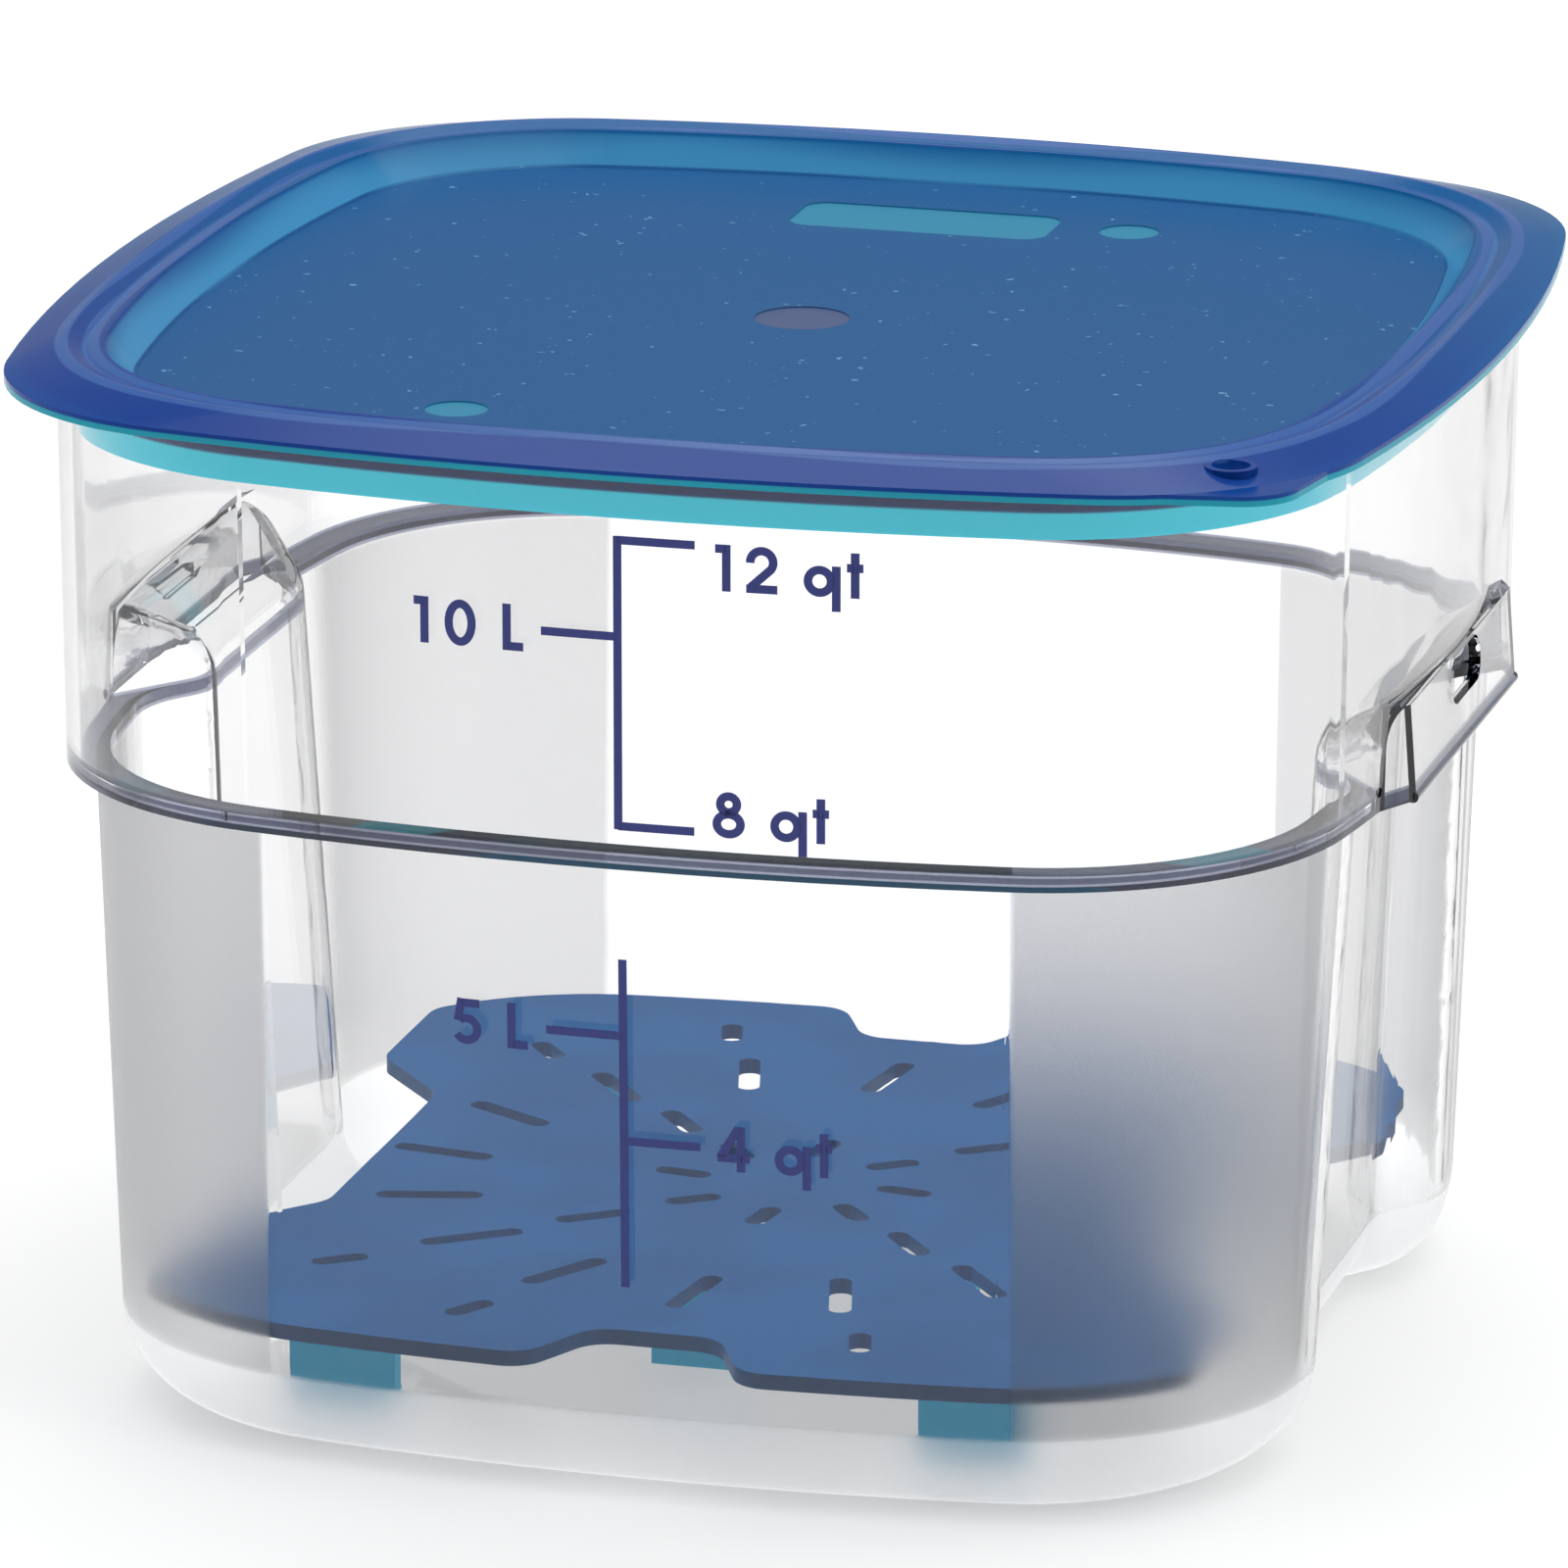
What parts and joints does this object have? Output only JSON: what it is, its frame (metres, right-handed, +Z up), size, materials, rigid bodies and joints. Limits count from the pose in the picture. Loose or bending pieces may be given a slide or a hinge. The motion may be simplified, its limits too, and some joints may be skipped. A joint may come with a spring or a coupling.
{
  "type": "food storage container",
  "caption": "Square clear food storage container with hooded handles, a translucent blue press-on lid and a slotted drain shelf.",
  "frame": {"origin": "middle of the tub's base, on the surface it stands on", "axes": "+Z up, the graduated front wall faces -Y, the two handles are on the X sides"},
  "size_m": [0.29, 0.29, 0.2182],
  "materials": {
    "clear_tub": "clear glossy polycarbonate, frosted at the corners and foot of the lower section",
    "blue_lid": "translucent blue plastic, glossy rim and finely matte panel",
    "blue_shelf": "translucent blue plastic, softly glossy"
  },
  "bodies": {
    "container": {"container_body": "clear_tub", "drain_shelf": "blue_shelf"},
    "lid": {"lid": "blue_lid"}
  },
  "joints": [
    {"name": "lid_lift", "type": "slide", "parent": "container", "child": "lid", "axis": [0, 0, 1], "range_m": [0, 0.06]}
  ]
}
